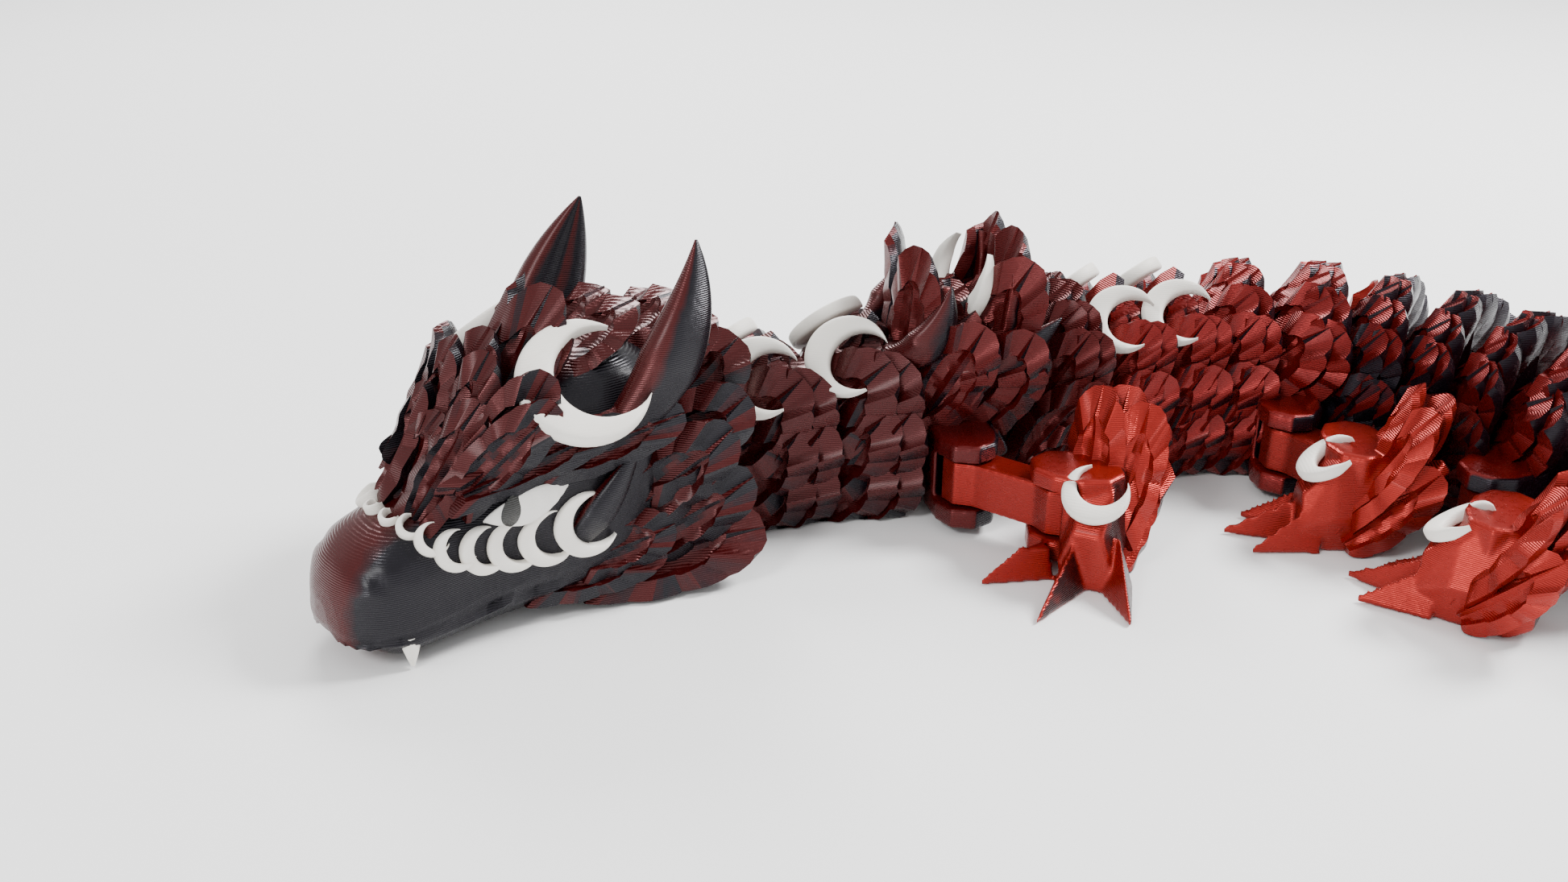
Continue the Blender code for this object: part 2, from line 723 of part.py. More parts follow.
for old in list(bpy.data.objects):
    bpy.data.objects.remove(old)
build()
centre_on_origin()
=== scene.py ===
import bpy
import json
import math
from mathutils import Matrix, Vector

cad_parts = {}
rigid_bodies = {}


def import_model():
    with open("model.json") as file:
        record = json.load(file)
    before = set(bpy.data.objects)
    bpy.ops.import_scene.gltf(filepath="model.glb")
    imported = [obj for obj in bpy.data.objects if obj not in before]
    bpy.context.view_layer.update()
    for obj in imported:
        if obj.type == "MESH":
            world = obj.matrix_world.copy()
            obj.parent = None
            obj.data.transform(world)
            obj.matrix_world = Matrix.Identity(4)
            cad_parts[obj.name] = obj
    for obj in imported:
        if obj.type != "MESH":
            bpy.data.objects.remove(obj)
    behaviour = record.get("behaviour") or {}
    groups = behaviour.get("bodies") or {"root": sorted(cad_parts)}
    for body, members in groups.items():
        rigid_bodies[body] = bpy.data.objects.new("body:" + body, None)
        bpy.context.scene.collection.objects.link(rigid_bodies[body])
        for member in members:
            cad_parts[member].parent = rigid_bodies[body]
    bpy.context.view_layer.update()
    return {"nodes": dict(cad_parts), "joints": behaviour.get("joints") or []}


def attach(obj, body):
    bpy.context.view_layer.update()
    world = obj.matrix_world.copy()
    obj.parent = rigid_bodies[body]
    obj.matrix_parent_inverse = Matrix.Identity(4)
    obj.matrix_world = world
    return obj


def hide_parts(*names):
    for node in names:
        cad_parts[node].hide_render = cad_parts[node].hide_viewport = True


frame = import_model()

# --- The toy's joints ---
# The toy is a chain of printed links, each turning on an upright pin of the link ahead.
# Every piece below is shaped in its own link's millimetres: x to the tail, -y to the dragon's left.
MM = 0.001
CHAIN = ["head", "neck_1", "neck_2", "shoulder", "trunk_1", "trunk_2", "trunk_3", "trunk_4", "middle"]
CHAIN += ["trunk_5", "trunk_6", "trunk_7", "hip", "tail_1", "tail_2", "tail_3", "tail_4", "tail_5", "tail_6"]
CHAIN += ["tail_tip"]
HEAD_TURN = math.radians(41.0)
TIP_TURN = math.radians(8.0)

pins = {}
for joint in frame["joints"]:
    pins[frozenset((joint["parent"], joint["child"]))] = Vector(joint["pos_m"])


def link_place(name):
    """The matrix that takes a link's own millimetres to the toy."""
    k = CHAIN.index(name)
    if k == 0:
        pin = pins[frozenset(CHAIN[0:2])]
        turn = HEAD_TURN
    else:
        pin = pins[frozenset(CHAIN[k - 1:k + 1])]
        if name == "tail_tip":
            ahead = pins[frozenset(CHAIN[k - 2:k])]
            turn = math.atan2(pin.y - ahead.y, pin.x - ahead.x) + TIP_TURN
        else:
            rear = pins[frozenset(CHAIN[k:k + 2])]
            turn = math.atan2(rear.y - pin.y, rear.x - pin.x)
    return Matrix.Translation((pin.x, pin.y, 0.0)) @ Matrix.Rotation(turn, 4, "Z") @ Matrix.Scale(MM, 4)


def link_length(name):
    k = CHAIN.index(name)
    gap = pins[frozenset(CHAIN[k:k + 2])] - pins[frozenset(CHAIN[k - 1:k + 1])]
    return math.hypot(gap.x, gap.y) / MM


# --- Skull ---
# The head is one solid print: a bulbous snout over a set-back jaw, a brow
# that climbs to the crown, in silk plastic that is dark red from the front and black from behind.
SKULL = (
    (-67.0, 1.6, 6.0, 9.6),
    (-66.4, 4.4, 3.2, 11.8),
    (-64.5, 7.6, 1.2, 14.9),
    (-60.0, 10.4, 0.0, 18.0),
    (-53.0, 11.2, 0.0, 20.4),
    (-46.0, 11.4, 0.0, 23.6),
    (-41.0, 12.4, 0.0, 28.6),
    (-34.0, 14.4, 0.0, 34.0),
    (-26.0, 15.8, 0.0, 37.6),
    (-18.0, 15.6, 0.0, 37.6),
    (-10.0, 13.6, 0.0, 34.0),
    (-4.2, 11.2, 0.0, 28.6),
)


def rod(name, sides, steps):
    """A capped rod of unit radius, extruded in unit steps from z = 0."""
    bpy.ops.object.select_all(action="DESELECT")
    bpy.ops.mesh.primitive_circle_add(vertices=sides, radius=1.0, fill_type="NGON", location=(0, 0, 0))
    obj = bpy.context.object
    obj.name = name
    bpy.ops.object.mode_set(mode="EDIT")
    for _ in range(steps):
        bpy.ops.mesh.extrude_region_move(TRANSFORM_OT_translate={"value": (0, 0, 1)})
    bpy.ops.mesh.select_all(action="SELECT")
    bpy.ops.mesh.normals_make_consistent(inside=False)
    bpy.ops.object.mode_set(mode="OBJECT")
    return obj


def shape(obj, move):
    """Move every point of a piece by its step along the rod and its angle round it."""
    for v in obj.data.vertices:
        v.co = move(round(v.co.z), math.atan2(v.co.y, v.co.x), math.hypot(v.co.x, v.co.y))
    bpy.ops.object.select_all(action="DESELECT")
    bpy.context.view_layer.objects.active = obj
    obj.select_set(True)
    bpy.ops.object.mode_set(mode="EDIT")
    bpy.ops.mesh.select_all(action="SELECT")
    bpy.ops.mesh.normals_make_consistent(inside=False)
    bpy.ops.object.mode_set(mode="OBJECT")


def skull_at(x):
    """Half width, low and high of the skull at this distance, on a smooth curve."""
    x = min(max(x, SKULL[0][0]), SKULL[-1][0])
    for k in range(len(SKULL) - 1):
        a, b = SKULL[k], SKULL[k + 1]
        if x <= b[0]:
            before = SKULL[max(k - 1, 0)]
            after = SKULL[min(k + 2, len(SKULL) - 1)]
            span = b[0] - a[0]
            t = (x - a[0]) / span
            found = []
            for i in (1, 2, 3):
                m0 = (b[i] - before[i]) / max(b[0] - before[0], 1e-6) * span
                m1 = (after[i] - a[i]) / max(after[0] - a[0], 1e-6) * span
                found.append(
                    (2 * t**3 - 3 * t**2 + 1) * a[i]
                    + (t**3 - 2 * t**2 + t) * m0
                    + (-2 * t**3 + 3 * t**2) * b[i]
                    + (t**3 - t**2) * m1
                )
            return found


def bump(value, centre, width):
    return math.exp(-(((value - centre) / width) ** 2))


def skull_point(x, turn):
    """A point of the skull's skin; turn is measured from the crown."""
    half, low, high = skull_at(x)
    low = max(low, 0.0)
    middle = low + 0.42 * (high - low)
    s, c = math.sin(turn), math.cos(turn)
    wide = half * math.copysign(abs(s) ** 0.8, s)
    reach = high - middle if c > 0.0 else middle - low
    z = middle + reach * math.copysign(abs(c) ** 0.7, c)
    lip = 4.2 + 0.06 * (x + 60.0)
    fade = 1.0 / (1.0 + math.exp((x + 30.0) / 2.5))
    out = -0.85 * bump(z, lip, 0.55) * fade
    out -= 0.9 * fade * (1.0 / (1.0 + math.exp((z - lip) * 3.0))) * (1.0 if x < -35.0 else 0.6)
    out += 0.55 * bump(z, lip + 2.2, 1.5) * fade
    out -= 1.5 * bump(x, -40.5, 5.2) * bump(z, 20.0 + 0.25 * (x + 40.0), 3.0)
    out += 1.1 * bump(x, -41.0, 8.0) * bump(z, 25.5 + 0.5 * (x + 40.0), 2.2)
    out -= 0.9 * bump(x, -63.2, 1.5) * bump(z, 13.0, 1.5)
    out += 0.5 * bump(x, -60.0, 2.0) * bump(z, 15.0, 2.0)
    near = abs(s) ** 0.6
    wide += math.copysign(out * near, s)
    shift = 0.0
    if x < -58.0 and z < lip:
        shift = 2.2 * min(1.0, (-58.0 - x) / 6.0)
    rows = 0.10 * math.sin(3.1 * x + 1.3 * z) + 0.08 * math.sin(2.1 * z - 1.7 * x + 4.0 * s)
    rough = 1.0 / (1.0 + math.exp(-(x + 50.0) / 3.0))
    wide += math.copysign(rows * rough * near, s)
    return Vector((x + shift, wide, max(z, 0.0)))


SKULL_STEPS = 96
skull = rod("skull", 64, SKULL_STEPS)
start_x, end_x = SKULL[0][0], SKULL[-1][0]


def skull_move(step, angle, radius):
    share = step / SKULL_STEPS
    x = start_x + (end_x - start_x) * share**1.25
    point = skull_point(x, angle)
    if step == SKULL_STEPS:
        wide = abs(point.y)
        point.x = -0.6 - 0.19 * wide
    return point


shape(skull, skull_move)


def silk(name, red, black, rough=0.3, metal=0.35, pitch=0.00028, depth=0.00005):
    """Silk plastic: red and black by the piece's 'dark' attribute, with printed layer lines."""
    mat = bpy.data.materials.new(name)
    mat.use_nodes = True
    nodes, links = mat.node_tree.nodes, mat.node_tree.links
    shader = nodes["Principled BSDF"]
    shader.inputs["Metallic"].default_value = metal
    shader.inputs["Coat Weight"].default_value = 0.12
    shader.inputs["Coat Roughness"].default_value = 0.22
    place = nodes.new("ShaderNodeTexCoord")
    side = nodes.new("ShaderNodeAttribute")
    side.attribute_name = "dark"
    patches = nodes.new("ShaderNodeTexNoise")
    patches.inputs["Scale"].default_value = 260.0
    patches.inputs["Detail"].default_value = 3.0
    links.new(place.outputs["Object"], patches.inputs["Vector"])
    jitter = nodes.new("ShaderNodeMath")
    jitter.operation = "MULTIPLY_ADD"
    jitter.inputs[1].default_value = 0.3
    links.new(patches.outputs["Fac"], jitter.inputs[0])
    links.new(side.outputs["Fac"], jitter.inputs[2])
    ramp = nodes.new("ShaderNodeValToRGB")
    ramp.color_ramp.elements[0].position = 0.58
    ramp.color_ramp.elements[0].color = red
    ramp.color_ramp.elements[1].position = 0.78
    ramp.color_ramp.elements[1].color = black
    links.new(jitter.outputs[0], ramp.inputs["Fac"])
    links.new(ramp.outputs["Color"], shader.inputs["Base Color"])
    grain = nodes.new("ShaderNodeTexNoise")
    grain.inputs["Scale"].default_value = 900.0
    grain.inputs["Detail"].default_value = 2.0
    links.new(place.outputs["Object"], grain.inputs["Vector"])
    gloss = nodes.new("ShaderNodeMapRange")
    gloss.inputs["To Min"].default_value = rough - 0.08
    gloss.inputs["To Max"].default_value = rough + 0.12
    links.new(grain.outputs["Fac"], gloss.inputs["Value"])
    links.new(gloss.outputs["Result"], shader.inputs["Roughness"])
    parts = nodes.new("ShaderNodeSeparateXYZ")
    links.new(place.outputs["Object"], parts.inputs["Vector"])
    wobble = nodes.new("ShaderNodeMath")
    wobble.operation = "MULTIPLY_ADD"
    wobble.inputs[1].default_value = 0.00012
    links.new(grain.outputs["Fac"], wobble.inputs[0])
    links.new(parts.outputs["Z"], wobble.inputs[2])
    lines = nodes.new("ShaderNodeMath")
    lines.operation = "MULTIPLY"
    lines.inputs[1].default_value = 2.0 * math.pi / pitch
    links.new(wobble.outputs[0], lines.inputs[0])
    wave = nodes.new("ShaderNodeMath")
    wave.operation = "SINE"
    links.new(lines.outputs[0], wave.inputs[0])
    relief = nodes.new("ShaderNodeBump")
    relief.inputs["Strength"].default_value = 0.55
    relief.inputs["Distance"].default_value = depth
    links.new(wave.outputs[0], relief.inputs["Height"])
    links.new(relief.outputs["Normal"], shader.inputs["Normal"])
    return mat


HEAD_SILK = silk("head_silk", (0.060, 0.0018, 0.0022, 1), (0.005, 0.004, 0.008, 1), rough=0.24, metal=0.5)
BODY_SILK = silk("body_silk", (0.095, 0.0025, 0.0025, 1), (0.006, 0.004, 0.009, 1), rough=0.24, metal=0.55)
RUBY_SILK = silk("ruby_silk", (0.20, 0.006, 0.005, 1), (0.009, 0.005, 0.011, 1), rough=0.25, metal=0.6)
COPPER_SILK = silk("copper_silk", (0.30, 0.012, 0.007, 1), (0.03, 0.003, 0.004, 1), rough=0.27, metal=0.7)


def tint(obj, mat, toward, bias=0.0, faces=True):
    """Store how far each face looks toward the black side, and give the piece its plastic."""
    toward = Vector(toward).normalized()
    mesh = obj.data
    if "dark" in mesh.attributes:
        mesh.attributes.remove(mesh.attributes["dark"])
    if faces:
        normals = [p.normal.copy() for p in mesh.polygons]
        layer = mesh.attributes.new("dark", "FLOAT", "FACE")
    else:
        normals = [v.normal.copy() for v in mesh.vertices]
        layer = mesh.attributes.new("dark", "FLOAT", "POINT")
    for item, normal in zip(layer.data, normals):
        item.value = min(1.0, max(0.0, 0.5 + 0.9 * normal.dot(toward) + bias))
    mesh.materials.clear()
    mesh.materials.append(mat)


def smooth(obj, degrees=35.0):
    bpy.ops.object.select_all(action="DESELECT")
    bpy.context.view_layer.objects.active = obj
    obj.select_set(True)
    bpy.ops.object.shade_smooth_by_angle(angle=math.radians(degrees))


BLACK_SIDE_HEAD = (0.8, -0.45, 0.0)
smooth(skull, 60.0)
skull.data.transform(link_place("head"))
tint(skull, HEAD_SILK, BLACK_SIDE_HEAD, -0.12, faces=False)
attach(skull, "head")
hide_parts("head")


# --- Horns ---
# Two cupped horns sweep up and back from the crown, each printed solid with a hollow on the front
# and a ridge along its outer edge. They are red to the front and black behind.
HORN_BASE = Vector((-25.5, 12.6, 25.5))
HORN_BEND = Vector((-13.5, 19.0, 39.5))
HORN_TIP = Vector((-9.8, 14.8, 54.2))


def horn_move(side, base, bend, tip, wide, deep, cup):
    steps = 36.0

    def move(step, angle, radius):
        t = min(step / steps, 0.995)
        path = base * (1 - t) ** 2 + bend * (2 * t * (1 - t)) + tip * t**2
        ahead = ((bend - base) * (1 - t) + (tip - bend) * t).normalized()
        out = Vector((0.35, 1.0, -0.2))
        out = (out - ahead * out.dot(ahead)).normalized()
        broad = ahead.cross(out)
        size = (0.62 + 0.9 * t) if t < 0.42 else 1.0 - ((t - 0.42) / 0.58) ** 1.7 * 0.97
        size = min(size, 1.0)
        from_front = (angle + 1.5 * math.pi) % (2 * math.pi) - math.pi
        groove = 1.0 - cup * math.exp(-((from_front / 0.75) ** 2))
        ridge = 1.0 + 0.16 * math.exp(-((angle - math.pi / 2) / 0.3) ** 2)
        a = wide * size * math.cos(angle) * groove
        b = deep * size * math.sin(angle) * groove * ridge
        if radius < 0.01:
            a = b = 0.0
        point = path + broad * a + out * b
        point.y *= side
        return point

    return move


for side, word in ((-1, "left"), (1, "right")):
    horn = rod("horn_shell_" + word, 28, 36)
    shape(horn, horn_move(side, HORN_BASE, HORN_BEND, HORN_TIP, 5.9, 4.6, 0.55))
    smooth(horn, 50.0)
    horn.data.transform(link_place("head"))
    tint(horn, HEAD_SILK, (0.95, 0.1, 0.0), -0.05, faces=False)
    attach(horn, "head")
    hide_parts("horn_" + word)


# --- Crescent moons of the head ---
# Ivory plastic is printed together with the red: a broad cupped moon hugs each horn's root, and a
# row of eight grows from the nose bridge to the cheek on each side.
def ivory(name, color, rough):
    mat = bpy.data.materials.new(name)
    mat.use_nodes = True
    nodes, links = mat.node_tree.nodes, mat.node_tree.links
    shader = nodes["Principled BSDF"]
    shader.inputs["Specular IOR Level"].default_value = 0.4
    place = nodes.new("ShaderNodeTexCoord")
    cloud = nodes.new("ShaderNodeTexNoise")
    cloud.inputs["Scale"].default_value = 350.0
    cloud.inputs["Detail"].default_value = 4.0
    links.new(place.outputs["Object"], cloud.inputs["Vector"])
    ramp = nodes.new("ShaderNodeValToRGB")
    ramp.color_ramp.elements[0].color = [0.93 * c for c in color[:3]] + [1]
    ramp.color_ramp.elements[1].color = color
    links.new(cloud.outputs["Fac"], ramp.inputs["Fac"])
    links.new(ramp.outputs["Color"], shader.inputs["Base Color"])
    gloss = nodes.new("ShaderNodeMapRange")
    gloss.inputs["To Min"].default_value = rough - 0.06
    gloss.inputs["To Max"].default_value = rough + 0.08
    links.new(cloud.outputs["Fac"], gloss.inputs["Value"])
    links.new(gloss.outputs["Result"], shader.inputs["Roughness"])
    parts = nodes.new("ShaderNodeSeparateXYZ")
    links.new(place.outputs["Object"], parts.inputs["Vector"])
    lines = nodes.new("ShaderNodeMath")
    lines.operation = "MULTIPLY"
    lines.inputs[1].default_value = 2.0 * math.pi / 0.00028
    links.new(parts.outputs["Z"], lines.inputs[0])
    wave = nodes.new("ShaderNodeMath")
    wave.operation = "SINE"
    links.new(lines.outputs[0], wave.inputs[0])
    relief = nodes.new("ShaderNodeBump")
    relief.inputs["Strength"].default_value = 0.22
    relief.inputs["Distance"].default_value = 0.00003
    links.new(wave.outputs[0], relief.inputs["Height"])
    links.new(relief.outputs["Normal"], shader.inputs["Normal"])
    return mat


IVORY = ivory("ivory_plastic", (0.88, 0.845, 0.78, 1), 0.5)


def moon(name, centre, facing, opening, radius, thick, cup=0.0, inner=0.74, shift=0.36):
    """A crescent: facing is its normal, opening the way its horns point."""
    centre, facing, opening = Vector(centre), Vector(facing).normalized(), Vector(opening)
    ahead = (opening - facing * opening.dot(facing)).normalized()
    side = facing.cross(ahead)
    inner *= radius
    shift *= radius
    meet = (radius**2 - inner**2 + shift**2) / (2.0 * shift)
    start = math.acos(meet / radius) + 0.05
    obj = rod(name, 16, 40)

    def move(step, angle, unit):
        share = step / 40.0
        turn = start + (2.0 * math.pi - 2.0 * start) * share
        near = shift * math.cos(turn) + math.sqrt(max(0.0, inner**2 - (shift * math.sin(turn)) ** 2))
        near = min(near, radius - 0.12)
        half = 0.5 * (radius - near)
        a = math.copysign(abs(math.cos(angle)) ** 0.55, math.cos(angle))
        b = math.copysign(abs(math.sin(angle)) ** 0.55, math.sin(angle))
        reach = 0.5 * (radius + near) + half * a
        taper = min(1.0, 0.35 + half / (0.16 * radius))
        lift = 0.5 * thick * b * taper + cup * ((reach / radius) ** 2 - 0.6)
        return centre + (ahead * math.cos(turn) + side * math.sin(turn)) * reach + facing * lift

    shape(obj, move)
    smooth(obj, 40.0)
    obj.data.materials.append(IVORY)
    return obj


def join(name, pieces):
    bpy.ops.object.select_all(action="DESELECT")
    for piece in pieces:
        piece.select_set(True)
    bpy.context.view_layer.objects.active = pieces[0]
    if len(pieces) > 1:
        bpy.ops.object.join()
    pieces[0].name = name
    return pieces[0]


MUZZLE_ROW = (
    (-56.0, 1.9, 19.4, 1.5, (-0.3, 0.2, 1.0)),
    (-54.8, 5.6, 19.0, 2.0, (-0.3, 0.6, 0.9)),
    (-53.2, 8.6, 17.7, 2.5, (-0.3, 0.9, 0.6)),
    (-50.7, 10.4, 15.8, 3.1, (-0.15, 1.0, 0.35)),
    (-46.7, 11.2, 14.7, 3.6, (-0.1, 1.0, 0.15)),
    (-42.3, 12.1, 14.3, 4.0, (-0.2, 1.0, 0.1)),
    (-37.5, 13.4, 14.4, 4.4, (-0.22, 1.0, 0.05)),
    (-31.6, 15.0, 15.2, 5.1, (-0.22, 1.0, 0.05)),
)
for side, word in ((-1, "left"), (1, "right")):
    brow = moon("brow_crescent_" + word, (-29.4, side * 13.2, 36.4), (-0.25, side * 0.62, 0.78),
                (1, 0, 0.05), 9.8, 3.4, 0.9)
    brow.data.transform(link_place("head"))
    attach(brow, "head")
    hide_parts("brow_moon_" + word)
    row = []
    for x, y, z, radius, facing in MUZZLE_ROW:
        normal = (facing[0], side * facing[1], facing[2])
        centre = (x, side * (y + 0.3), z + 0.2)
        row.append(moon("muzzle", centre, normal, (1, 0, 0.3), radius, 2.0, 0.0, 0.79, 0.36))
    band = join("muzzle_crescents_" + word, row)
    band.data.transform(link_place("head"))
    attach(band, "head")
    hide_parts("muzzle_moons_" + word)


# --- Eyes and fangs ---
# Each eye is a flat ivory almond under the brow leaf, split by an upright black slit; a short
# ivory fang hangs from the front of each upper lip.
EYE = ivory("eye_white", (0.86, 0.84, 0.80, 1), 0.35)
SLIT = silk("slit_black", (0.008, 0.009, 0.009, 1), (0.02, 0.02, 0.018, 1), rough=0.25, metal=0.0)


def skin_y(x, z):
    """How far out the skull's skin is at this distance and height."""
    points = [skull_point(x, math.radians(0.5 * i)) for i in range(8, 230)]
    return min(points, key=lambda p: abs(p.z - z)).y


for side, word in ((-1, "left"), (1, "right")):
    eye = rod("eye_ball_" + word, 20, 24)

    def eye_move(step, angle, unit, side=side):
        t = step / 24.0
        x = -46.0 + 12.0 * t
        z = 19.0 + 3.4 * t
        size = max(0.05, math.sin(math.pi * min(max(t, 0.0), 1.0)) ** 0.8)
        y = skin_y(x, z) + 0.55
        return Vector((x, side * (y + 1.0 * size * math.cos(angle)), z + 2.6 * size * math.sin(angle)))

    shape(eye, eye_move)
    smooth(eye, 60.0)
    eye.data.materials.append(EYE)
    eye.data.transform(link_place("head"))
    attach(eye, "head")
    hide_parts("eye_" + word)
    slit = rod("eye_slit_" + word, 16, 12)

    def slit_move(step, angle, unit, side=side):
        t = step / 12.0
        z = 18.2 + 4.9 * t
        x = -43.0 + 0.8 * t
        size = max(0.08, math.sin(math.pi * t) ** 0.6)
        y = skin_y(-42.0, 20.4) + 0.85 + 0.45 * math.sin(math.pi * t)
        return Vector((x + 2.1 * size * math.cos(angle), side * (y + 0.5 * size * math.sin(angle)), z))

    shape(slit, slit_move)
    smooth(slit, 60.0)
    slit.data.transform(link_place("head"))
    tint(slit, SLIT, (1, 0, 0), 0.0)
    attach(slit, "head")
    fang = rod("fang_tooth_" + word, 16, 10)

    def fang_move(step, angle, unit, side=side):
        t = step / 10.0
        size = 1.75 * (1.0 - 0.82 * t**1.3)
        point = Vector((-58.5 - 0.5 * t, 9.7 + 0.9 * t, 4.9 - 4.5 * t))
        out = point.y + 0.8 * size * math.sin(angle)
        return Vector((point.x + size * math.cos(angle), side * out, point.z))

    shape(fang, fang_move)
    smooth(fang, 60.0)
    fang.data.materials.append(IVORY)
    fang.data.transform(link_place("head"))
    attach(fang, "head")
    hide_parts("fang_" + word)


# --- Leaf scales of the head ---
# The face and crown are dressed in thick toothed leaves with a raised midrib, printed as one with
# the skull, so each leaf has an upright side wall. One leaf is modelled and copied.
def leaf_scale():
    """A leaf 1 long on x and 1 wide on y, its root at the origin, 0.3 thick below z = 0."""
    bpy.ops.object.select_all(action="DESELECT")
    bpy.ops.mesh.primitive_grid_add(x_subdivisions=22, y_subdivisions=8, size=2, location=(0, 0, 0))
    obj = bpy.context.object
    obj.name = "leaf_pattern"
    for v in obj.data.vertices:
        u, across = 0.5 + 0.5 * v.co.x, v.co.y
        if u < 0.5:
            wide = 0.50 + 0.50 * math.sin(math.pi * u)
        else:
            wide = 1.0 - 0.42 * ((u - 0.5) / 0.5) ** 3.0
        tooth = (u * 3.5) % 1.0
        wide *= 1.0 - 0.09 * tooth * abs(across) ** 4
        rim = 0.17 * max(abs(across), min(1.0, max(0.0, u - 0.55) / 0.45)) ** 5
        rib = 0.15 * math.exp(-((across / 0.17) ** 2)) * (1.0 - 0.45 * u)
        vein = 0.022 * math.sin(2 * math.pi * (u * 3.5 - 1.1 * abs(across))) * min(1.0, 2.2 * abs(across))
        curl = 0.10 * u**2
        back = 0.15 * across**2 * max(0.0, (u - 0.5) / 0.5) ** 2
        v.co = (u - back, 0.5 * wide * across, rim + rib + vein + curl)
    bpy.ops.object.modifier_add(type="SOLIDIFY")
    obj.modifiers[-1].thickness = 0.38
    obj.modifiers[-1].offset = -1.0
    bpy.ops.object.modifier_apply(modifier=obj.modifiers[-1].name)
    return obj


leaf = leaf_scale()


def leaf_matrix(root, tip, normal, wide, thick):
    root, tip, normal = Vector(root), Vector(tip), Vector(normal)
    ahead = tip - root
    length = ahead.length
    ahead.normalize()
    up = (normal - ahead * normal.dot(ahead)).normalized()
    side = up.cross(ahead)
    matrix = Matrix((ahead * length, side * wide, up * thick)).transposed().to_4x4()
    return Matrix.Translation(root) @ matrix


def dress(name, leaves):
    """Copies of the leaf, each (root, tip, normal, width, thickness), joined as one piece."""
    copies = []
    for item in leaves:
        copy = bpy.data.objects.new("leaf", leaf.data.copy())
        copy.data.transform(leaf_matrix(*item))
        for v in copy.data.vertices:
            v.co.z = max(v.co.z, 0.15)
        bpy.context.scene.collection.objects.link(copy)
        copies.append(copy)
    piece = join(name, copies)
    smooth(piece, 28.0)
    return piece


def both_sides(leaves):
    out = []
    for root, tip, normal, wide, thick in leaves:
        for side in (1, -1):
            if root[1] == 0.0 and side < 0:
                continue
            out.append(((root[0], root[1] * side, root[2]), (tip[0], tip[1] * side, tip[2]),
                        (normal[0], normal[1] * side, normal[2]), wide, thick))
    return out


face_leaves = dress("face_leaves", both_sides((
    ((-43.5, -4.6, 26.0), (-31.0, -3.6, 42.5), (-0.75, -0.6, 0.4), 7.6, 6.0),
    ((-44.5, -8.6, 25.0), (-37.0, -11.8, 36.0), (-0.45, -0.9, 0.25), 6.2, 5.5),
    ((-48.5, -9.6, 23.0), (-38.4, -13.8, 32.6), (-0.35, -0.95, 0.35), 5.6, 5.0),
    ((-48.5, -10.4, 24.0), (-30.5, -15.2, 29.0), (-0.2, -1.0, 0.5), 4.4, 4.5),
    ((-36.5, -13.5, 26.0), (-21.0, -17.6, 29.0), (-0.2, -1.0, 0.35), 5.6, 5.0),
    ((-53.5, -5.0, 19.5), (-44.5, -6.0, 31.0), (-0.7, -0.4, 0.6), 6.0, 6.0),
    ((-52.5, 0.0, 20.0), (-46.5, 0.0, 29.0), (-0.8, 0.0, 0.6), 6.0, 6.0),
    ((-48.0, 0.0, 24.0), (-42.0, 0.0, 34.0), (-0.8, 0.0, 0.6), 6.4, 6.0),
    ((-43.5, 0.0, 28.0), (-37.5, 0.0, 39.0), (-0.8, 0.0, 0.6), 6.8, 6.0),
    ((-47.0, -4.0, 25.0), (-40.5, -4.2, 37.0), (-0.8, -0.3, 0.6), 6.0, 6.0),
    ((-36.0, -3.4, 33.0), (-27.5, -3.6, 40.0), (-0.6, 0.0, 0.8), 7.0, 6.0),
    ((-27.0, -3.6, 35.5), (-16.5, -3.8, 40.5), (-0.3, 0.0, 1.0), 7.5, 6.0),
    ((-17.0, 0.0, 35.0), (-5.5, 0.0, 38.5), (-0.2, 0.0, 1.0), 8.0, 6.5),
    ((-25.0, -13.8, 13.0), (-12.0, -18.4, 22.5), (-0.3, -1.0, 0.2), 8.4, 7.0),
    ((-20.5, -14.6, 19.5), (-8.0, -17.8, 27.0), (-0.25, -0.9, 0.4), 8.4, 7.0),
    ((-24.5, -13.5, 7.5), (-9.5, -19.0, 14.5), (-0.15, -1.0, 0.25), 8.0, 7.0),
    ((-28.0, -11.5, 5.0), (-9.0, -19.0, 6.5), (-0.1, -0.8, 0.8), 9.0, 6.5),
    ((-38.0, -10.4, 5.6), (-23.5, -15.4, 6.8), (-0.1, -0.9, 0.6), 5.6, 5.0),
    ((-31.0, -13.6, 8.5), (-21.0, -16.8, 11.0), (-0.1, -1.0, 0.3), 6.0, 5.0),
    ((-15.0, -12.0, 26.5), (-4.0, -12.6, 33.5), (-0.2, -0.6, 0.8), 8.4, 6.5),
    ((-15.0, -6.5, 32.0), (-4.5, -7.0, 36.6), (-0.2, -0.2, 1.0), 7.6, 6.5),
)))
face_leaves.data.transform(link_place("head"))
tint(face_leaves, HEAD_SILK, (0.85, 0.1, -0.35), -0.02)
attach(face_leaves, "head")

# A smooth horny spur rises behind the last cheek moon.
for side, word in ((-1, "left"), (1, "right")):
    spur = rod("cheek_spur_" + word, 20, 36)
    shape(spur, horn_move(side, Vector((-33.5, 12.4, 11.5)), Vector((-29.0, 15.8, 16.0)),
                          Vector((-23.0, 17.6, 27.0)), 3.4, 2.3, 0.1))
    smooth(spur, 50.0)
    spur.data.transform(link_place("head"))
    tint(spur, HEAD_SILK, BLACK_SIDE_HEAD, 0.1, faces=False)
    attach(spur, "head")


